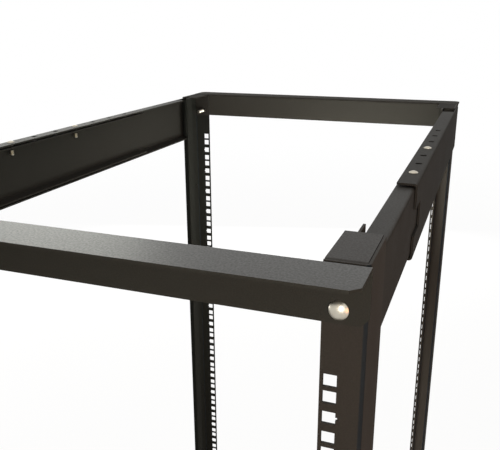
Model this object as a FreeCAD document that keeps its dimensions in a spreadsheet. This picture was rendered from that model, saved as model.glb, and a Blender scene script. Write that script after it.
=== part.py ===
import FreeCAD, Part
import Sketcher
import os

# Four post open frame rack for 19 inch equipment. The front frame and the rear frame are each
# two posts with a top beam and a bottom beam. Inner rails on the front frame telescope inside
# outer rails on the rear frame, which sets the depth. Millimetres, front at -Y, +Z up, origin on
# the floor in the middle of the rack. Every piece is modelled once, as the one at the front,
# right and top, about the middle of the rack, and turned about that middle into its other places.
os.makedirs("parts", exist_ok=True)
doc = FreeCAD.newDocument("rack")
sheet = doc.addObject("Spreadsheet::Sheet", "sizes")

SIZES = {
    "sheet_gauge": 2.0,           # thickness of all folded steel sheet
    "bend_radius": 3.5,           # outer radius of every fold
    "rack_units": 24,             # whole rack units in a post
    "unit_pitch": 44.45,          # height of one rack unit
    "hole_spacing": 15.875,       # between the holes of one rack unit
    "hole_side": 9.5,             # square hole for a cage nut
    "hole_inset": 7.125,          # from the post's inner edge to its column of square holes
    "mark_width": 2.6,            # notch that marks the middle hole of a rack unit
    "mark_depth": 1.3,
    "end_margin": 85.0,           # from the end of a post to its first square hole
    "opening_width": 450.85,      # clear width between the posts
    "face_width": 30.075,         # face flange of a post
    "post_depth": 62.0,           # side web of a post
    "return_width": 20.9,         # inner flange of a post
    "lip_depth": 20.0,            # lip that stands back from the end of the inner flange
    "tongue_room": 7.2,           # notch beside the web, for an inner rail's tongue
    "small_hole": 3.0,            # small holes in the web and the lip of a post
    "web_hole_inset": 13.0,       # from the post's face to the small holes of its web
    "web_hole_drop": 160.5,       # from the end of a post down to the first of them
    "web_hole_step": 27.0,        # between the two holes of a pair
    "lip_hole_inset": 12.0,       # from the inner flange to the small holes of the lip
    "lip_hole_drop": 87.4,        # from the end of a post down to the first of them
    "small_hole_pitch": 389.0,    # from each small hole to the next of its kind
    "frame_depth": 830.0,         # from the front posts' face to the rear posts' face
    "beam_overhang": 1.5,         # beam past the posts at each side
    "beam_shelf": 42.0,           # level flange of a beam, outside the posts
    "beam_web": 41.5,             # upright flange of a beam
    "corner_cut": 6.0,            # cut corners of a beam
    "bolt_inset": 11.575,         # from the post's inner edge to the corner bolts
    "bolt_drop": 32.0,            # from the top of a beam to its bolts
    "bolt_square": 6.5,           # square hole for the neck of a round-headed bolt
    "rail_drop": 2.4,             # from the top of a beam down to the outer rail
    "rail_height": 76.0,          # outer rail
    "outer_flange": 19.5,         # outer rail's level flanges
    "inner_flange": 17.8,         # inner rail's level flanges
    "slide_gap": 0.6,             # between the webs of the inner and the outer rail
    "flange_gap": 2.0,            # between their flanges, above and below
    "inner_reach": 590.0,         # from the front posts' face to the inner rail's rear end
    "outer_start": 226.0,         # from the front posts' face to the outer rail's front end
    "flange_stop": 90.0,          # outer rail's flange by the beams ends before its rear end
    "notch_length": 38.0,         # notch in the front end of the outer rail's web
    "notch_height": 27.0,
    "rail_holes": 7,              # adjustment holes in a row
    "rail_pitch": 45.0,
    "rail_first": 46.0,           # from the outer rail's front end to its first hole
    "bolt_step": 3,               # pitches between the two bolts of a rail
    "tongue_start": 6.0,          # from the front posts' face to the inner rail's tongue
    "tongue_lap": 30.0,           # tongue behind the post
    "tongue_inset": 8.0,          # tongue's edges inside the inner rail's flanges
    "slit": 0.5,                  # between a corner bracket and the post's side web
    "bracket_tab": 40.0,          # upright flange of a corner bracket
}
for row, (alias, value) in enumerate(SIZES.items(), start=1):
    sheet.set(f"A{row}", alias)
    sheet.set(f"B{row}", str(value))
    sheet.setAlias(f"B{row}", alias)
doc.recompute()


class Size:
    """A length in millimetres together with its formula in the sheet's names."""

    def __init__(self, value, formula):
        self.value = value
        self.formula = formula

    def joined(self, other, sign, value):
        text = other.formula if isinstance(other, Size) else repr(other)
        return Size(value, f"({self.formula} {sign} {text})")

    def __add__(self, other):
        return self.joined(other, "+", self.value + number(other))

    def __sub__(self, other):
        return self.joined(other, "-", self.value - number(other))

    def __mul__(self, other):
        return self.joined(other, "*", self.value * number(other))

    def __truediv__(self, other):
        return self.joined(other, "/", self.value / number(other))

    def __neg__(self):
        return Size(-self.value, f"(0 - {self.formula})")


def number(length):
    """The plain number of a Size or of a number."""
    return length.value if isinstance(length, Size) else length


def size(alias):
    """One of the sheet's driving dimensions."""
    return Size(float(sheet.get(alias)), f"sizes.{alias}")


ZERO = Size(0.0, "0")
GAUGE = size("sheet_gauge")
FOLD = size("bend_radius")
UNIT = size("unit_pitch")
TALL = size("rack_units") * UNIT + UNIT - size("hole_spacing") * 2 + size("end_margin") * 2
TOP = TALL / 2
FACE = size("frame_depth") / 2
OPENING = size("opening_width") / 2
POST_OUT = OPENING + size("face_width")
POST_IN = POST_OUT - GAUGE
POST_BACK = FACE - size("post_depth")
RETURN_END = POST_OUT - size("return_width")
SQUARE = size("bolt_square")
BOLT_COLUMN = OPENING + size("bolt_inset")
BOLT_LEVEL = TOP - size("bolt_drop")
OUTER_OUT = POST_OUT + GAUGE
INNER_OUT = POST_OUT - size("slide_gap")
OUTER_HALF = size("rail_height") / 2
INNER_HALF = OUTER_HALF - GAUGE - size("flange_gap")
RAIL_LEVEL = TOP - size("rail_drop") - OUTER_HALF
HOLE_LINE = OUTER_OUT - size("outer_flange") / 2
OUTER_FRONT = FACE - size("outer_start")
FIRST_HOLE = OUTER_FRONT - size("rail_first")


# Tools for sketches and features -----------------------------------------------------------------
def sketch_on(body, name, role, offset=ZERO):
    """An empty sketch parallel to an origin plane of the body, offset along its normal."""
    plane = next(item for item in body.Origin.OriginFeatures if item.Role == role)
    sketch = body.newObject("Sketcher::SketchObject", name)
    sketch.AttachmentSupport = [(plane, "")]
    sketch.MapMode = "FlatFace"
    sketch.AttachmentOffset = FreeCAD.Placement(
        FreeCAD.Vector(0, 0, offset.value), FreeCAD.Rotation())
    sketch.setExpression("AttachmentOffset.Base.z", offset.formula)
    return sketch


def pin(sketch, line, point, across, up):
    """Fix a point of the sketch by formulas for its two coordinates."""
    for kind, coordinate in (("DistanceX", across), ("DistanceY", up)):
        if coordinate.value < 0:
            ends = (line, point, -1, 1)
            length = -coordinate
        else:
            ends = (-1, 1, line, point)
            length = coordinate
        index = sketch.addConstraint(Sketcher.Constraint(kind, *ends, length.value))
        sketch.setExpression(f"Constraints[{index}]", length.formula)


def outline(sketch, points):
    """A closed outline of straight lines through the points."""
    places = [FreeCAD.Vector(across.value, up.value, 0) for across, up in points]
    first = sketch.GeometryCount
    count = len(points)
    for index, place in enumerate(places):
        sketch.addGeometry(Part.LineSegment(place, places[(index + 1) % count]))
    for index in range(count):
        after = first + (index + 1) % count
        sketch.addConstraint(Sketcher.Constraint("Coincident", first + index, 2, after, 1))
    for index, (across, up) in enumerate(points):
        pin(sketch, first + index, 1, across, up)


def rectangle(sketch, left, right, low, high):
    """A closed rectangle between two across and two up values."""
    outline(sketch, [(left, low), (right, low), (right, high), (left, high)])


def square(sketch, across, up, side):
    """A square hole about its centre."""
    rectangle(sketch, across - side / 2, across + side / 2, up - side / 2, up + side / 2)


def pad(body, name, sketch, length, both_ways=False, turned=False):
    """Sheet or bar made from an outline."""
    feature = body.newObject("PartDesign::Pad", name)
    feature.Profile = sketch
    feature.SideType = "Symmetric" if both_ways else "One side"
    feature.Reversed = turned
    feature.Length = length.value
    feature.setExpression("Length", length.formula)
    doc.recompute()
    return feature


def pocket(body, name, sketch, length, turned=False):
    """A cut made from an outline, which has to take something away."""
    before = body.Shape.Volume
    feature = body.newObject("PartDesign::Pocket", name)
    feature.Profile = sketch
    feature.Reversed = turned
    feature.Length = length.value
    feature.setExpression("Length", length.formula)
    doc.recompute()
    if body.Shape.Volume >= before:
        raise RuntimeError(f"{body.Label}: {name} cuts nothing")
    return feature


def row_of(body, name, features, role, span, count, turned=False):
    """The features repeated in a row along an axis of the body's origin."""
    axis = next(item for item in body.Origin.OriginFeatures if item.Role == role)
    pattern = body.newObject("PartDesign::LinearPattern", name)
    pattern.Originals = features
    pattern.Direction = (axis, [""])
    pattern.Reversed = turned
    pattern.Length = span.value
    pattern.setExpression("Length", span.formula)
    pattern.Occurrences = int(count.value)
    pattern.setExpression("Occurrences", count.formula)
    body.Tip = pattern
    doc.recompute()
    return pattern


def edges_along(shape, direction, places):
    """Names of the straight edges along a direction that pass through one of the places."""
    found = []
    for index, edge in enumerate(shape.Edges, start=1):
        if not isinstance(edge.Curve, Part.Line):
            continue
        if abs(abs(edge.Curve.Direction * direction) - 1) > 1e-6:
            continue
        for place in places:
            away = edge.CenterOfMass - FreeCAD.Vector(*(number(part) for part in place))
            if (away - direction * (away * direction)).Length < 1e-3:
                found.append(f"Edge{index}")
    return found


def rounded(body, name, direction, places, radius):
    """The folds of a sheet, rounded along edges through the places."""
    folded = body.Tip
    feature = body.newObject("PartDesign::Fillet", name)
    feature.Base = (folded, edges_along(folded.Shape, direction, places))
    feature.Radius = radius.value
    feature.setExpression("Radius", radius.formula)
    body.Tip = feature
    doc.recompute()
    return feature


def cut_corners(body, name, direction, places, depth):
    """Flat cuts across corners, along edges through the places."""
    sheared = body.Tip
    feature = body.newObject("PartDesign::Chamfer", name)
    feature.Base = (sheared, edges_along(sheared.Shape, direction, places))
    feature.Size = depth.value
    feature.setExpression("Size", depth.formula)
    body.Tip = feature
    doc.recompute()
    return feature


def set_down(body, turn, across=ZERO, level=TOP):
    """Turn a piece about the middle of the rack and lift it to its level."""
    body.Placement = FreeCAD.Placement(FreeCAD.Vector(across.value, 0, level.value), turn)
    body.setExpression("Placement.Base.x", across.formula)
    body.setExpression("Placement.Base.z", level.formula)


ALONG_X = FreeCAD.Vector(1, 0, 0)
ALONG_Y = FreeCAD.Vector(0, 1, 0)
ALONG_Z = FreeCAD.Vector(0, 0, 1)
STAY = FreeCAD.Rotation()
ROUND_X = FreeCAD.Rotation(ALONG_X, 180)
ROUND_Y = FreeCAD.Rotation(ALONG_Y, 180)
ROUND_Z = FreeCAD.Rotation(ALONG_Z, 180)


# Posts -------------------------------------------------------------------------------------------
def small_holes(body, name, side, along, levels):
    """Small holes through the web or the lip, alike at both ends of a post."""
    holes = sketch_on(body, name + "_outline", "YZ_Plane", side)
    for level in levels:
        for height in (level, level - size("small_hole_pitch")):
            square(holes, along, height, size("small_hole"))
            square(holes, along, -height, size("small_hole"))
    pocket(body, name, holes, GAUGE)


def post(name, turn):
    """A folded channel: face flange with the square holes, side web, inner flange and lip."""
    body = doc.addObject("PartDesign::Body", name)
    lip_end = size("lip_depth") - POST_BACK
    profile = sketch_on(body, name + "_profile", "XY_Plane")
    outline(profile, [
        (OPENING, -FACE), (POST_OUT, -FACE), (POST_OUT, -POST_BACK),
        (RETURN_END + GAUGE, -POST_BACK), (RETURN_END + GAUGE, lip_end),
        (RETURN_END, lip_end), (RETURN_END, -POST_BACK - GAUGE),
        (POST_IN, -POST_BACK - GAUGE), (POST_IN, GAUGE - FACE), (OPENING, GAUGE - FACE)])
    pad(body, name + "_sheet", profile, TALL, both_ways=True)
    rounded(body, name + "_folds", ALONG_Z,
            [(POST_OUT, -FACE, 0), (POST_OUT, -POST_BACK, 0),
             (RETURN_END, -POST_BACK - GAUGE, 0)], FOLD)
    rounded(body, name + "_inner_folds", ALONG_Z,
            [(POST_IN, GAUGE - FACE, 0), (POST_IN, -POST_BACK - GAUGE, 0),
             (RETURN_END + GAUGE, -POST_BACK, 0)], FOLD - GAUGE)

    # Inner flange is notched beside the web at both ends, where a rail's tongue comes in.
    ends = sketch_on(body, name + "_ends", "XZ_Plane", POST_BACK)
    room = TOP - size("rail_drop") - size("rail_height") - GAUGE
    rectangle(ends, POST_IN - size("tongue_room"), POST_IN, room, TOP + GAUGE)
    rectangle(ends, POST_IN - size("tongue_room"), POST_IN, -TOP - GAUGE, -room)
    pocket(body, name + "_tongue_notches", ends, FOLD, turned=True)

    # Inner flange stops under the corner brackets.
    seats = sketch_on(body, name + "_seats", "XZ_Plane", POST_BACK)
    rectangle(seats, RETURN_END - GAUGE, POST_IN, TOP - GAUGE, TOP + GAUGE)
    rectangle(seats, RETURN_END - GAUGE, POST_IN, -TOP - GAUGE, GAUGE - TOP)
    pocket(body, name + "_bracket_seats", seats, FOLD, turned=True)

    # Square holes, three to a rack unit, and the notch of the middle one.
    hole = size("hole_side")
    column = OPENING + size("hole_inset")
    unit = sketch_on(body, name + "_unit", "XZ_Plane", FACE)
    lowest = UNIT / 2 - UNIT * size("rack_units") / 2
    for level in (lowest - size("hole_spacing"), lowest, lowest + size("hole_spacing")):
        square(unit, column, level, hole)
    holes = pocket(body, name + "_unit_holes", unit, GAUGE)
    mark = sketch_on(body, name + "_mark", "XZ_Plane", FACE)
    rectangle(mark, column, column + hole / 2 + size("mark_depth"),
              lowest - size("mark_width") / 2, lowest + size("mark_width") / 2)
    marks = pocket(body, name + "_unit_mark", mark, GAUGE)
    row_of(body, name + "_units", [holes, marks], "Z_Axis",
           UNIT * (size("rack_units") - 1), size("rack_units"))

    # One more square hole and a bolt hole at each end.
    last = TOP - size("end_margin")
    end_holes = sketch_on(body, name + "_end_holes", "XZ_Plane", FACE)
    for level in (last, -last):
        square(end_holes, column, level, hole)
    for level in (BOLT_LEVEL, -BOLT_LEVEL):
        square(end_holes, BOLT_COLUMN, level, SQUARE)
    pocket(body, name + "_end_cuts", end_holes, GAUGE)

    # Small holes: pairs in the side web near its face, and single ones in the lip.
    pair = size("web_hole_drop")
    small_holes(body, name + "_web_holes", POST_OUT, size("web_hole_inset") - FACE,
                [TOP - pair, TOP - pair - size("web_hole_step")])
    small_holes(body, name + "_lip_holes", RETURN_END + GAUGE, size("lip_hole_inset") - POST_BACK,
                [TOP - size("lip_hole_drop")])
    set_down(body, turn)
    return body


# Beams -------------------------------------------------------------------------------------------
def beam(name, turn):
    """An angle across the two posts, its upright flange on their faces, its shelf outside."""
    body = doc.addObject("PartDesign::Body", name)
    front = FACE + size("beam_shelf")
    back = FACE
    foot = TOP - size("beam_web")
    half_span = POST_OUT + size("beam_overhang")
    profile = sketch_on(body, name + "_profile", "YZ_Plane")
    outline(profile, [
        (-front, TOP), (-front, TOP - GAUGE), (-back - GAUGE, TOP - GAUGE),
        (-back - GAUGE, foot), (-back, foot), (-back, TOP)])
    pad(body, name + "_sheet", profile, half_span * 2, both_ways=True)
    rounded(body, name + "_fold", ALONG_X, [(0, -back, TOP)], FOLD)
    rounded(body, name + "_inner_fold", ALONG_X, [(0, -back - GAUGE, TOP - GAUGE)], FOLD - GAUGE)
    cut_corners(body, name + "_shelf_corners", ALONG_Z,
                [(half_span, -front, 0), (-half_span, -front, 0)], size("corner_cut"))
    cut_corners(body, name + "_web_corners", ALONG_Y,
                [(half_span, 0, foot), (-half_span, 0, foot)], size("corner_cut"))
    bores = sketch_on(body, name + "_bores", "XZ_Plane", FACE)
    for column in (BOLT_COLUMN, -BOLT_COLUMN):
        square(bores, column, BOLT_LEVEL, SQUARE)
    pocket(body, name + "_bolt_holes", bores, GAUGE, turned=True)
    set_down(body, turn)
    return body


# Corner brackets ---------------------------------------------------------------------------------
BRACKET_WIDTH = POST_IN - size("slit") - OPENING
BRACKET_COLUMN = OPENING + BRACKET_WIDTH / 2


def bracket(name, turn, side):
    """A cap over the end of a post with a tab down behind the post's face flange."""
    body = doc.addObject("PartDesign::Body", name)
    front = FACE - GAUGE
    foot = TOP - GAUGE - size("bracket_tab")
    profile = sketch_on(body, name + "_profile", "YZ_Plane")
    outline(profile, [
        (-front, foot), (-front, TOP), (-POST_BACK, TOP), (-POST_BACK, TOP - GAUGE),
        (GAUGE - front, TOP - GAUGE), (GAUGE - front, foot)])
    pad(body, name + "_sheet", profile, BRACKET_WIDTH, both_ways=True)
    rounded(body, name + "_fold", ALONG_X, [(0, -front, TOP)], FOLD)
    rounded(body, name + "_inner_fold", ALONG_X,
            [(0, GAUGE - front, TOP - GAUGE)], FOLD - GAUGE)
    bores = sketch_on(body, name + "_bores", "XZ_Plane", front)
    square(bores, (BOLT_COLUMN - BRACKET_COLUMN) * side, BOLT_LEVEL, SQUARE)
    pocket(body, name + "_bolt_hole", bores, GAUGE)
    return body


# Rails -------------------------------------------------------------------------------------------
def channel(body, name, out, flange, half_height, front, back):
    """A channel that opens towards the middle of the rack, from front to back."""
    inner = out - flange
    web = out - GAUGE
    profile = sketch_on(body, name + "_profile", "XZ_Plane", front)
    outline(profile, [
        (inner, half_height), (out, half_height), (out, -half_height), (inner, -half_height),
        (inner, GAUGE - half_height), (web, GAUGE - half_height),
        (web, half_height - GAUGE), (inner, half_height - GAUGE)])
    pad(body, name + "_sheet", profile, front - back, turned=True)
    rounded(body, name + "_folds", ALONG_Y,
            [(out, 0, half_height), (out, 0, -half_height)], FOLD)
    rounded(body, name + "_inner_folds", ALONG_Y,
            [(web, 0, half_height - GAUGE), (web, 0, GAUGE - half_height)], FOLD - GAUGE)


def hole_row(body, name, level, high, step, count):
    """A row of bolt holes along the upper or the lower flange of a rail."""
    hole = sketch_on(body, name + "_hole", "XY_Plane", level if high else -level)
    square(hole, HOLE_LINE, -FIRST_HOLE, SQUARE)
    start = pocket(body, name + "_first_hole", hole, GAUGE, turned=not high)
    row_of(body, name + "_holes", [start], "Y_Axis", step * (count - 1), count)


def inner_rail(name, turn, level, high):
    """Front rail: a channel behind the post and a tongue that lies inside the post's web."""
    body = doc.addObject("PartDesign::Body", name)
    back = FACE - size("inner_reach")
    channel(body, name, INNER_OUT, size("inner_flange"), INNER_HALF, POST_BACK, back)
    tongue_half = INNER_HALF - size("tongue_inset")
    tongue_front = FACE - size("tongue_start")
    tongue = sketch_on(body, name + "_tongue", "XZ_Plane", tongue_front)
    rectangle(tongue, POST_IN - GAUGE, POST_IN, -tongue_half, tongue_half)
    pad(body, name + "_tongue_sheet", tongue,
        tongue_front - POST_BACK + size("tongue_lap"), turned=True)
    hole_row(body, name, INNER_HALF, high,
             size("rail_pitch") * size("bolt_step"), Size(2.0, "2"))
    set_down(body, turn, level=level)
    return body


def outer_rail(name, turn, level, high):
    """Rear rail: a channel over the inner rail, with its web out to the rear face."""
    body = doc.addObject("PartDesign::Body", name)
    channel(body, name, OUTER_OUT, size("outer_flange"), OUTER_HALF, OUTER_FRONT, -FACE)
    notch = sketch_on(body, name + "_notch", "YZ_Plane", OUTER_OUT)
    notch_half = size("notch_height") / 2
    rectangle(notch, -OUTER_FRONT - GAUGE, size("notch_length") - OUTER_FRONT,
              -notch_half, notch_half)
    pocket(body, name + "_front_notch", notch, GAUGE)
    # Flange by the beams stops before the corner bracket, and the other one at the post.
    ends = sketch_on(body, name + "_ends", "YZ_Plane", POST_OUT)
    stops = (FACE - size("flange_stop"), POST_BACK)
    upper, lower = stops if high else reversed(stops)
    rectangle(ends, upper, FACE + GAUGE, ZERO, OUTER_HALF + GAUGE)
    rectangle(ends, lower, FACE + GAUGE, -OUTER_HALF - GAUGE, -GAUGE)
    pocket(body, name + "_flange_ends", ends, size("outer_flange"))
    hole_row(body, name, OUTER_HALF, high, size("rail_pitch"), size("rail_holes"))
    set_down(body, turn, level=level)
    return body


# The rack ----------------------------------------------------------------------------------------
bodies = []
for name, turn in (("front_right_post", STAY), ("front_left_post", ROUND_Y),
                   ("rear_left_post", ROUND_Z), ("rear_right_post", ROUND_X)):
    bodies.append(post(name, turn))
for name, turn in (("front_top_beam", STAY), ("front_bottom_beam", ROUND_Y),
                   ("rear_top_beam", ROUND_Z), ("rear_bottom_beam", ROUND_X)):
    bodies.append(beam(name, turn))
CORNERS = (("front", "top", STAY), ("front", "bottom", ROUND_Y),
           ("rear", "top", ROUND_Z), ("rear", "bottom", ROUND_X))
MIRRORED = {("front", "top"): 1, ("front", "bottom"): -1, ("rear", "top"): -1, ("rear", "bottom"): 1}
for end, height, turn in CORNERS:
    for side, sign in (("right", 1), ("left", -1)):
        name = f"{end}_{side}_{height}_bracket"
        body = bracket(name, turn, sign * MIRRORED[(end, height)])
        set_down(body, turn, across=BRACKET_COLUMN * sign)
        bodies.append(body)
for height, level, up in (("top", TOP + RAIL_LEVEL, True), ("bottom", TOP - RAIL_LEVEL, False)):
    for side, turn in (("right", STAY), ("left", ROUND_Y)):
        high = up == (side == "right")
        bodies.append(inner_rail(f"{side}_{height}_inner_rail", turn, level, high))
        bodies.append(outer_rail(f"{side}_{height}_outer_rail", turn, level, high))

doc.recompute()
for item in doc.Objects:
    if "Invalid" in item.State or "Error" in item.State:
        raise RuntimeError(f"{item.Label}: {item.State}")
for body in bodies:
    shape = body.Shape
    if shape.isNull() or not shape.isValid() or len(shape.Solids) != 1:
        raise RuntimeError(f"{body.Label} isn't one valid solid")
for body in bodies:
    body.Shape.exportStep(f"parts/{body.Label}.step")
print(len(bodies), "pieces,", round(TALL.value, 2), "mm tall")
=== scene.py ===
import math

import bmesh
import bpy
from mathutils import Euler, Matrix, Vector


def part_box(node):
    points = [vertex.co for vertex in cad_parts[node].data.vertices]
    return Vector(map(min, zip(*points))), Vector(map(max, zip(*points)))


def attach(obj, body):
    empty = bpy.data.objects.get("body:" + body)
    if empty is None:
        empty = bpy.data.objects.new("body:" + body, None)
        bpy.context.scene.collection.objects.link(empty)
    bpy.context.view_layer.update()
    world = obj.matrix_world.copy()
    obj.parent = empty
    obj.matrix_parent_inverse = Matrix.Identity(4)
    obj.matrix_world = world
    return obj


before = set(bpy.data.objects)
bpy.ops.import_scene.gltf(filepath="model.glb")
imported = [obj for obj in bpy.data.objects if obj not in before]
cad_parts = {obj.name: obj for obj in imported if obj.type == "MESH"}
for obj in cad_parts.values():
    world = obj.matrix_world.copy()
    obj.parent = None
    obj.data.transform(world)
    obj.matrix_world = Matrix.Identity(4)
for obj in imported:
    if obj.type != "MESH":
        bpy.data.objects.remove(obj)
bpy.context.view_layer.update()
scene = bpy.context.scene
scene.view_settings.view_transform = "Standard"


# ---- Camera -------------------------------------------------------------------------------------
# It stands in front of the rack's right corner, a little above the top frame, and looks down
# across the top frame to the rear left post.
CAMERA_ASIDE = 0.3147     # to the right of the rack's middle
CAMERA_AHEAD = 0.3647     # in front of the front posts
CAMERA_ABOVE = 0.1428     # above the tops of the posts
CAMERA_AZIMUTH = math.radians(20.74)
CAMERA_ELEVATION = math.radians(17.83)
CAMERA_ROLL = math.radians(-0.24)
CAMERA_LENS = 45.87       # focal length in mm
CAMERA_SENSOR = 36.0
CAMERA_REACH = (0.01, 200.0)

post_low, post_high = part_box("front_right_post")
lens = bpy.data.cameras.new("camera")
lens.lens = CAMERA_LENS
lens.sensor_width = CAMERA_SENSOR
lens.clip_start, lens.clip_end = CAMERA_REACH
camera = bpy.data.objects.new("camera", lens)
camera.location = (CAMERA_ASIDE, post_low.y - CAMERA_AHEAD, post_high.z + CAMERA_ABOVE)
aim = Euler((math.pi / 2 - CAMERA_ELEVATION, 0, CAMERA_AZIMUTH)).to_matrix()
camera.rotation_euler = (aim @ Matrix.Rotation(CAMERA_ROLL, 3, "Z")).to_euler()
scene.collection.objects.link(camera)
scene.camera = camera


# ---- Floor and studio light ---------------------------------------------------------------------
# A plain pale floor fades into an empty white studio. A window far behind on the left grazes the
# front shelf, and a soft lamp hangs overhead. Small lamps light the right corner and the inner
# sides, and two wide soft ones stand on the left and behind.
FLOOR_SIDE = 60.0
FLOOR_COLOUR = "#faf9f7"
FLOOR_MATT = 0.08         # share of plain matt floor next to the rack, where its shadow falls
FLOOR_NEAR = 1.0          # metres from the rack's middle within which that share is whole
FLOOR_FAR = 7.0           # metres at which the floor has become plain white
STUDIO_WHITE = "#ffffff"
STUDIO_BOUNCE = "#fffaf4"  # light that comes back from the studio's walls
AMBIENT = 0.34
LAMPS = [
    # name, colour, watts, width, height, place, aim
    ("window", "#fdfff5", 14.5, 1.3, 0.8, (-2.5, 2.7, 2.35), (0.03, -0.43, 1.25)),
    ("overhead", "#fff3e4", 6.0, 3.0, 3.0, (0.2, -0.2, 4.2), (0.0, 0.0, 1.0)),
    ("right_corner", "#fff9f2", 2.5, 0.3, 0.3, (0.4, -0.95, 1.3), (0.2, -0.4, 1.2)),
    ("right_warm", "#ffac6a", 2.2, 0.4, 0.4, (1.1, -0.8, 1.05), (0.25, -0.3, 1.15)),
    ("side_inside", "#f2fff6", 0.45, 0.5, 0.15, (0.12, -0.25, 1.06), (-0.235, -0.22, 1.19)),
    ("rear_inside", "#fbfff8", 1.5, 0.2, 0.2, (0.15, 0.18, 1.06), (-0.12, 0.42, 1.2)),
    ("right_inside", "#fffaf2", 1.6, 0.15, 0.7, (0.2, 0.0, 0.5), (0.24, 0.38, 0.5)),
    ("left_soft", "#ffffff", 50.0, 2.4, 1.0, (-3.2, 0.5, 0.65), (0.0, 0.0, 0.6)),
    ("back_soft", "#ffffff", 55.0, 2.4, 1.0, (-1.0, 3.3, 0.65), (0.0, 0.0, 0.6)),
]


def linear(colour, alpha=1.0):
    """An sRGB hex colour as linear red, green, blue and alpha."""
    parts = [int(colour[place:place + 2], 16) / 255 for place in (1, 3, 5)]
    bright = [part / 12.92 if part <= 0.04045 else ((part + 0.055) / 1.055) ** 2.4
              for part in parts]
    return (*bright, alpha)


def add_node(tree, kind, settings=None, values=None, links=None):
    """A node with its settings, its input values and what feeds its inputs."""
    made = tree.nodes.new(kind)
    for name, value in (settings or {}).items():
        setattr(made, name, value)
    for name, value in (values or {}).items():
        made.inputs[name].default_value = value
    for name, source in (links or {}).items():
        tree.links.new(source, made.inputs[name])
    return made


def seen_directly(tree):
    """1 for rays from the camera, off a mirror or through glass, 0 for the light they gather."""
    path = add_node(tree, "ShaderNodeLightPath")
    mirror = add_node(tree, "ShaderNodeMath", {"operation": "ADD"},
                      links={0: path.outputs["Is Camera Ray"], 1: path.outputs["Is Glossy Ray"]})
    every = add_node(tree, "ShaderNodeMath", {"operation": "ADD", "use_clamp": True},
                     links={0: mirror.outputs[0], 1: path.outputs["Is Transmission Ray"]})
    return every.outputs[0]


studio = bpy.data.worlds.new("studio")
studio.use_nodes = True
studio.node_tree.nodes.clear()
tree = studio.node_tree
around = add_node(tree, "ShaderNodeBackground",
                  values={"Color": linear(STUDIO_BOUNCE), "Strength": AMBIENT})
backdrop = add_node(tree, "ShaderNodeBackground",
                    values={"Color": linear(STUDIO_WHITE), "Strength": 1.0})
either = add_node(tree, "ShaderNodeMixShader",
                  links={0: seen_directly(tree), 1: around.outputs[0], 2: backdrop.outputs[0]})
add_node(tree, "ShaderNodeOutputWorld", links={"Surface": either.outputs[0]})
scene.world = studio

floor_paint = bpy.data.materials.new("floor_paint")
floor_paint.use_nodes = True
floor_paint.node_tree.nodes.clear()
tree = floor_paint.node_tree
place = add_node(tree, "ShaderNodeTexCoord")
away = add_node(tree, "ShaderNodeVectorMath", {"operation": "LENGTH"},
                links={0: place.outputs["Object"]})
share = add_node(tree, "ShaderNodeMapRange", {"interpolation_type": "SMOOTHSTEP"},
                 values={"From Min": FLOOR_NEAR, "From Max": FLOOR_FAR,
                         "To Min": 1.0 - FLOOR_MATT, "To Max": 1.0},
                 links={"Value": away.outputs["Value"]})
matt = add_node(tree, "ShaderNodeBsdfDiffuse", values={"Color": linear(FLOOR_COLOUR)})
glow = add_node(tree, "ShaderNodeEmission", values={"Color": linear(STUDIO_WHITE)},
                links={"Strength": seen_directly(tree)})
blend = add_node(tree, "ShaderNodeMixShader",
                 links={0: share.outputs[0], 1: matt.outputs[0], 2: glow.outputs[0]})
add_node(tree, "ShaderNodeOutputMaterial", links={"Surface": blend.outputs[0]})

shape = bmesh.new()
bmesh.ops.create_grid(shape, x_segments=1, y_segments=1, size=FLOOR_SIDE / 2)
floor_mesh = bpy.data.meshes.new("floor")
shape.to_mesh(floor_mesh)
shape.free()
floor_mesh.materials.append(floor_paint)
floor = bpy.data.objects.new("floor", floor_mesh)
scene.collection.objects.link(floor)

for name, colour, watts, width, height, place, target in LAMPS:
    light = bpy.data.lights.new(name, "AREA")
    light.shape = "RECTANGLE"
    light.size = width
    light.size_y = height
    light.energy = watts
    light.color = linear(colour)[:3]
    lamp = bpy.data.objects.new(name, light)
    lamp.location = place
    lamp.visible_camera = False
    lamp.rotation_euler = (Vector(target) - Vector(place)).to_track_quat("-Z", "Y").to_euler()
    scene.collection.objects.link(lamp)


# ---- Posts --------------------------------------------------------------------------------------
# Each post is a channel folded from 2 mm steel sheet, punched with square holes and sprayed with
# black powder coat, which is baked to a fine-grained matt skin. The left posts' coat is painted
# darker, as painted shade on the rear left post, and the right posts' coat paler, as painted
# light on the rear right post.
# left colours darkened as painted shade, right colours lightened as painted light
POST_COATS_LIT_AND_SHADED = {
    # colour, colour where it is thin
    "left": ("#252522", "#31312d"),
    "right": ("#35322e", "#413d38"),
}
POST_END_SKIN = (0.3, 0.5)        # share of clear skin on a level face, and its roughness
POST_FOLD_REFLECTION = "#272b2e"            # a painted cool reflection round an upright fold, a little darker
COAT_ROUGHNESS = 0.88
COAT_GLINT = 0.05         # specular level of a coat this dull
COAT_GRAIN = 0.0011       # crest to crest of the coat's orange peel
COAT_PEEL = 0.0016        # the coarser waves in its skin
COAT_MOTTLE = 0.03        # slow changes in how thick the coat lies
COAT_UNEVEN = 0.03        # how far they change its roughness
SKIN_WAVES = 0.22         # share by which the coarser waves change the skin
SKIN_IOR = 1.5
NOISE_SPAN = (0.3, 0.7)   # the band in which a noise pattern's values lie
LEVEL_SPAN = (0.5, 0.95)  # a normal's z where the clear skin starts, and where it is whole
FOLD_REFLECTION_SPAN = (0.12, 0.35)  # a normal's x times y where the painted fold reflection starts, and is whole
GRAIN_HEIGHT = 0.0002
GRAIN_STRENGTH = 0.4      # share of that height that shows


def span_values(span, low, high):
    """Input values for a range node that takes a span to low and high."""
    return {"From Min": span[0], "From Max": span[1], "To Min": low, "To Max": high}


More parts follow.
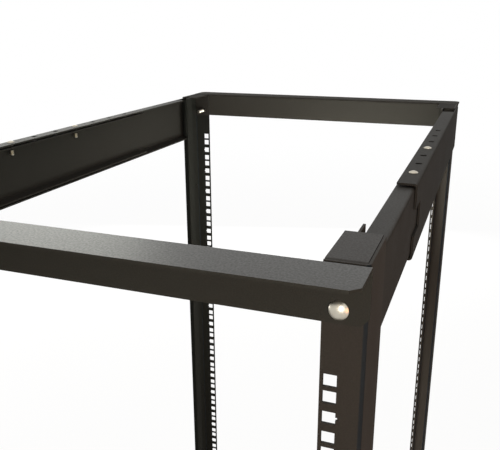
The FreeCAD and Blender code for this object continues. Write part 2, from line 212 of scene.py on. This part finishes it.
def powder_coat(name, colour, thin, skin, fold_reflection=None, dull_below=-1.0):
    """Baked black powder coat: dull, with fine pale specks, and glossier where it lay level.

    fold_reflection is a painted cool reflection round upright folds, and dull_below the share
    of the piece's height under which the spray hardly reached and left no clear skin.
    """
    coat = bpy.data.materials.new(name)
    coat.use_nodes = True
    tree = coat.node_tree
    tree.nodes.clear()
    place = add_node(tree, "ShaderNodeTexCoord")
    grain = add_node(tree, "ShaderNodeTexNoise",
                     values={"Scale": 1 / COAT_GRAIN, "Detail": 2.0, "Roughness": 0.7},
                     links={"Vector": place.outputs["Object"]})
    peel = add_node(tree, "ShaderNodeTexNoise",
                    values={"Scale": 1 / COAT_PEEL, "Detail": 1.0},
                    links={"Vector": place.outputs["Object"]})
    mottle = add_node(tree, "ShaderNodeTexNoise",
                      values={"Scale": 1 / COAT_MOTTLE, "Detail": 3.0, "Roughness": 0.55},
                      links={"Vector": place.outputs["Object"]})
    face = add_node(tree, "ShaderNodeNewGeometry")
    turned_to = add_node(tree, "ShaderNodeSeparateXYZ", links={0: face.outputs["Normal"]})

    # Pale specks on the grain's crests, and a painted cool reflection round upright folds.
    speck = add_node(tree, "ShaderNodeMix", {"data_type": "RGBA"},
                     values={6: linear(colour), 7: linear(thin)},
                     links={0: grain.outputs["Fac"]})
    slant = add_node(tree, "ShaderNodeMath", {"operation": "MULTIPLY"},
                     links={0: turned_to.outputs["X"], 1: turned_to.outputs["Y"]})
    slanted = add_node(tree, "ShaderNodeMath", {"operation": "ABSOLUTE"},
                       links={0: slant.outputs[0]})
    fold = add_node(tree, "ShaderNodeMapRange", values=span_values(FOLD_REFLECTION_SPAN, 0.0, 1.0),
                    links={"Value": slanted.outputs[0]})
    folded = add_node(tree, "ShaderNodeMix", {"data_type": "RGBA"},
                      values={7: linear(fold_reflection or colour)},
                      links={0: fold.outputs[0], 6: speck.outputs[2]})

    # The clear skin of level faces, in soft waves.
    waves = add_node(tree, "ShaderNodeMapRange",
                     values=span_values(NOISE_SPAN, skin[0] * (1 - SKIN_WAVES),
                                        skin[0] * (1 + SKIN_WAVES)),
                     links={"Value": peel.outputs["Fac"]})
    level = add_node(tree, "ShaderNodeMapRange", values=span_values(LEVEL_SPAN, 0.0, 1.0),
                     links={"Value": turned_to.outputs["Z"], "To Max": waves.outputs[0]})
    spot = add_node(tree, "ShaderNodeSeparateXYZ", links={0: place.outputs["Generated"]})
    reached = add_node(tree, "ShaderNodeMath", {"operation": "GREATER_THAN"},
                       values={1: dull_below}, links={0: spot.outputs["Z"]})
    skinned = add_node(tree, "ShaderNodeMath", {"operation": "MULTIPLY"},
                       links={0: level.outputs[0], 1: reached.outputs[0]})

    # Slow patches in how dull it is, and the grain as a relief.
    patch = add_node(tree, "ShaderNodeMapRange",
                     values=span_values(NOISE_SPAN, COAT_ROUGHNESS - COAT_UNEVEN,
                                        COAT_ROUGHNESS + COAT_UNEVEN),
                     links={"Value": mottle.outputs["Fac"]})
    bumps = add_node(tree, "ShaderNodeBump",
                     values={"Strength": GRAIN_STRENGTH, "Distance": GRAIN_HEIGHT},
                     links={"Height": grain.outputs["Fac"]})
    baked = add_node(tree, "ShaderNodeBsdfPrincipled",
                     values={"IOR": SKIN_IOR, "Specular IOR Level": COAT_GLINT,
                             "Coat Roughness": skin[1], "Coat IOR": SKIN_IOR},
                     links={"Base Color": folded.outputs[2], "Roughness": patch.outputs[0],
                            "Normal": bumps.outputs[0], "Coat Weight": skinned.outputs[0],
                            "Coat Normal": bumps.outputs[0]})
    add_node(tree, "ShaderNodeOutputMaterial", links={"Surface": baked.outputs[0]})
    return coat


def dress(names, coat):
    """Give the coat to the nodes that carry one of these names."""
    for name in names:
        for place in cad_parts[name].material_slots:
            place.material = coat


ENDS = ("front", "rear")
SIDES = ("left", "right")
LEVELS = ("top", "bottom")
for side, (colour, thin) in POST_COATS_LIT_AND_SHADED.items():
    dress([f"{end}_{side}_post" for end in ENDS],
          powder_coat(f"black_powder_coat_{side}_posts", colour, thin, POST_END_SKIN, POST_FOLD_REFLECTION))


# ---- Beams --------------------------------------------------------------------------------------
# Each beam is an angle of the same sheet across two posts, with its shelf turned outwards. Its
# coat is like the posts' coat, and glossier on the front shelves, which lay level while the
# powder flowed out. The rear beams' coat is painted a shade paler, as painted light on their
# inner faces, and is duller.
BEAM_COATS_WITH_PAINTED_LIGHT = {
    # colour, colour where it is thin, share and roughness of the clear skin
    "front": ("#302f2b", "#3c3b36", (0.8, 0.34)),
    # paler than the front colours, as painted light on the rear beams' inner faces
    "rear": ("#393632", "#45423d", (0.12, 0.6)),
}
for end, (colour, thin, skin) in BEAM_COATS_WITH_PAINTED_LIGHT.items():
    dress([f"{end}_{level}_beam" for level in LEVELS],
          powder_coat(f"black_powder_coat_{end}_beams", colour, thin, skin))


# ---- Side rails ---------------------------------------------------------------------------------
# Inner rails slide in outer rails. Both are channels folded from the same sheet, with the same
# black coat, a little glossy on their tops and dull inside the channel. The outer rails have a
# row of holes for the bolts that clamp them.
RAIL_COAT = "#302e2b"
RAIL_COAT_THIN = "#3c3a36"
RAIL_INSIDE = 0.5                 # share of a rail's height below which its coat is dull
FLANGE_SKIN = {
    # share and roughness of the clear skin
    "left": {"inner": (0.45, 0.5), "outer": (0.45, 0.45)},
    "right": {"inner": (0.42, 0.5), "outer": (0.24, 0.5)},
}
for side, skins in FLANGE_SKIN.items():
    for kind, skin in skins.items():
        dress([f"{side}_{level}_{kind}_rail" for level in LEVELS],
              powder_coat(f"black_powder_coat_{side}_{kind}_rails", RAIL_COAT, RAIL_COAT_THIN,
                          skin, dull_below=RAIL_INSIDE))


# ---- Corner brackets ----------------------------------------------------------------------------
# Small angles of the same sheet cap the ends of the posts and hold the beam and the post
# together, in the same black coat, a little glossy on the front ones' level plates.
BRACKET_COAT = "#312e2b"
BRACKET_COAT_THIN = "#3d3a36"
PLATE_SKIN = {
    # share and roughness of the clear skin
    "front": (0.5, 0.45),
    "rear": (0.05, 0.5),
}
bracket_coats = {}
for end, skin in PLATE_SKIN.items():
    bracket_coats[end] = powder_coat(f"black_powder_coat_{end}_brackets", BRACKET_COAT,
                                     BRACKET_COAT_THIN, skin)
    dress([f"{end}_{side}_{level}_bracket" for side in SIDES for level in LEVELS],
          bracket_coats[end])


# ---- Corner bolts -------------------------------------------------------------------------------
# Each corner is held by a round-headed M6 bolt of bright zinc-plated steel. It goes through the
# beam, the post and the bracket from outside and into a hexagonal nut welded inside the bracket,
# under the bracket's coat.
SHEET = 0.002
CORNER_BOLT_INSET = 0.011575      # from the post's inner edge
CORNER_BOLT_DROP = 0.032          # from the end of the post
CORNER_HEAD = (0.0133, 0.0036)    # across and high
CORNER_BOLT_LENGTH = 0.030
CORNER_NECK = 0.0062              # side of the square under the head
HEAD_RIM = 0.2                    # straight part of a head's height
THREAD_ACROSS = 0.006
THREAD_PITCH = 0.001
THREAD_DEPTH = 0.6                # of the pitch
NUT_FLATS = 0.010
NUT_HEIGHT = 0.0032
NUT_EASED = 0.0004                # eased edges of a nut
ROUND_STEPS = 40                  # flats round a turned piece
DOME_STEPS = 14                   # and from a head's middle to its rim
TOUCHING = 0.000001               # points nearer than this are one
SHARP_EDGE = math.radians(35)
ZINC = "#c9c5b8"
ZINC_BLOOM = "#b5ac9b"
BLOOM_SIZE = 0.004
BRIGHT_ROUGHNESS = (0.3, 0.42)    # where it is clear, and where the bloom lies


def turned(shape, line):
    """A closed round piece: half its section, from the axis out and back to it, spun round."""
    points = [shape.verts.new((across, 0, up)) for across, up in line]
    edges = [shape.edges.new(pair) for pair in zip(points, points[1:])]
    bmesh.ops.spin(shape, geom=points + edges, cent=(0, 0, 0), axis=(0, 0, 1),
                   angle=math.tau, steps=ROUND_STEPS, use_merge=True)


def domed_head(shape, across, high):
    """The cap of a ball on a short straight rim, closed below, standing on z = 0."""
    cap = high * (1 - HEAD_RIM)
    ball = (across * across / 4 + cap * cap) / (2 * cap)
    spread = math.asin(across / 2 / ball)
    leans = [spread * step / DOME_STEPS for step in range(DOME_STEPS + 1)]
    dome = [(ball * math.sin(lean), high - ball + ball * math.cos(lean)) for lean in leans]
    turned(shape, dome + [(across / 2, 0.0), (0.0, 0.0)])


def threaded_shank(shape, length, start):
    """A shank under the head: plain down to start, then ringed with the thread's crests."""
    outer = THREAD_ACROSS / 2
    root = outer - THREAD_PITCH * THREAD_DEPTH
    line = [(0.0, 0.0), (outer, 0.0), (outer, start)]
    for turn in range(int((length - start) / THREAD_PITCH) - 1):
        down = start + turn * THREAD_PITCH
        line += [(root, down + THREAD_PITCH / 2), (outer, down + THREAD_PITCH)]
    line += [(root, length), (0.0, length)]
    turned(shape, [(across, -down) for across, down in line])


def square_neck(shape, side, length):
    """The square under a round head that keeps it from turning in a square hole."""
    bmesh.ops.create_cube(shape, size=1.0, matrix=Matrix.Translation((0, 0, -length / 2))
                          @ Matrix.Diagonal((side, side, length, 1.0)))


def finish_piece(shape, name, place, outward, material, body):
    """The bmesh as a piece that stands at its place, turned outwards, and rides on a body."""
    bmesh.ops.remove_doubles(shape, verts=shape.verts, dist=TOUCHING)
    bmesh.ops.recalc_face_normals(shape, faces=shape.faces)
    turn = Vector(outward).to_track_quat("Z", "Y").to_matrix().to_4x4()
    bmesh.ops.transform(shape, matrix=Matrix.Translation(place) @ turn, verts=shape.verts)
    mesh = bpy.data.meshes.new(name)
    shape.to_mesh(mesh)
    shape.free()
    mesh.materials.append(material)
    mesh.shade_smooth()
    mesh.set_sharp_from_angle(angle=SHARP_EDGE)
    piece = bpy.data.objects.new(name, mesh)
    scene.collection.objects.link(piece)
    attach(piece, body)


def bright_zinc(name):
    """Zinc plating: a bright, slightly milky metal with a warmer, duller bloom in patches."""
    plating = bpy.data.materials.new(name)
    plating.use_nodes = True
    tree = plating.node_tree
    tree.nodes.clear()
    place = add_node(tree, "ShaderNodeTexCoord")
    bloom = add_node(tree, "ShaderNodeTexNoise", values={"Scale": 1 / BLOOM_SIZE, "Detail": 3.0},
                     links={"Vector": place.outputs["Object"]})
    colour = add_node(tree, "ShaderNodeMix", {"data_type": "RGBA"},
                      values={6: linear(ZINC), 7: linear(ZINC_BLOOM)},
                      links={0: bloom.outputs["Fac"]})
    gloss = add_node(tree, "ShaderNodeMapRange",
                     values=span_values(NOISE_SPAN, *BRIGHT_ROUGHNESS),
                     links={"Value": bloom.outputs["Fac"]})
    skin = add_node(tree, "ShaderNodeBsdfPrincipled", values={"Metallic": 1.0},
                    links={"Base Color": colour.outputs[2], "Roughness": gloss.outputs[0]})
    add_node(tree, "ShaderNodeOutputMaterial", links={"Surface": skin.outputs[0]})
    return plating


def weld_nut(shape, down):
    """A hexagonal nut, its edges eased, that ends at a depth under the bolt's head."""
    corner = NUT_FLATS / math.sqrt(3)
    made = bmesh.ops.create_cone(
        shape, cap_ends=True, segments=6, radius1=corner, radius2=corner, depth=NUT_HEIGHT,
        matrix=Matrix.Translation((0, 0, -down - NUT_HEIGHT / 2)))
    edges = list({edge for vert in made["verts"] for edge in vert.link_edges})
    bmesh.ops.bevel(shape, geom=edges, offset=NUT_EASED, offset_type="OFFSET", segments=2,
                    profile=0.5, affect="EDGES", material=-1)


zinc = bright_zinc("bright_zinc_plating")
for end, outward in (("front", -1), ("rear", 1)):
    for side in SIDES:
        post_low, post_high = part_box(f"{end}_{side}_post")
        column = (post_low.x + CORNER_BOLT_INSET if side == "right"
                  else post_high.x - CORNER_BOLT_INSET)
        face = post_low.y - SHEET if end == "front" else post_high.y + SHEET
        for level in LEVELS:
            height = (post_high.z - CORNER_BOLT_DROP if level == "top"
                      else post_low.z + CORNER_BOLT_DROP)
            place = (column, face, height)
            shape = bmesh.new()
            domed_head(shape, *CORNER_HEAD)
            square_neck(shape, CORNER_NECK, 2 * SHEET)
            threaded_shank(shape, CORNER_BOLT_LENGTH, 2 * SHEET)
            finish_piece(shape, f"{end}_{side}_{level}_corner_bolt", place, (0, outward, 0),
                         zinc, f"{end}_frame")
            shape = bmesh.new()
            weld_nut(shape, 3 * SHEET)
            finish_piece(shape, f"{end}_{side}_{level}_corner_nut", place, (0, outward, 0),
                         bracket_coats[end], f"{end}_frame")


# ---- Rail bolts ---------------------------------------------------------------------------------
# Two smaller round-headed bolts of the same zinc-plated steel clamp each outer rail to the inner
# rail inside it. They go through both flanges into nuts welded inside the inner rail, which have
# a dull coat like the rear brackets'.
RAIL_BOLTS = 2
RAIL_HEAD = (0.0092, 0.0022)      # across and high, low enough to clear the floor below
RAIL_BOLT_LENGTH = 0.016
RAIL_HOLE_INSET = 0.00975         # from the outer side of the outer rail
FIRST_RAIL_BOLT = 0.046           # from the front end of the outer rail
RAIL_BOLT_STEP = 0.135            # three steps of the rail's row of holes
RAIL_STACK = 0.006                # two flanges and the gap between them

for side, sideways in (("left", -1), ("right", 1)):
    for level, up in (("top", 1), ("bottom", -1)):
        rail_low, rail_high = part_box(f"{side}_{level}_outer_rail")
        column = sideways * (rail_high.x if side == "right" else -rail_low.x)
        height = rail_high.z if level == "top" else rail_low.z
        for number in range(RAIL_BOLTS):
            place = (column - sideways * RAIL_HOLE_INSET,
                     rail_low.y + FIRST_RAIL_BOLT + number * RAIL_BOLT_STEP, height)
            name = f"{side}_{level}_rail_bolt_{number + 1}"
            shape = bmesh.new()
            domed_head(shape, *RAIL_HEAD)
            threaded_shank(shape, RAIL_BOLT_LENGTH, RAIL_STACK)
            finish_piece(shape, name, place, (0, 0, up), zinc, "front_frame")
            shape = bmesh.new()
            weld_nut(shape, RAIL_STACK)
            finish_piece(shape, name.replace("bolt", "nut"), place, (0, 0, up),
                         bracket_coats["rear"], "front_frame")
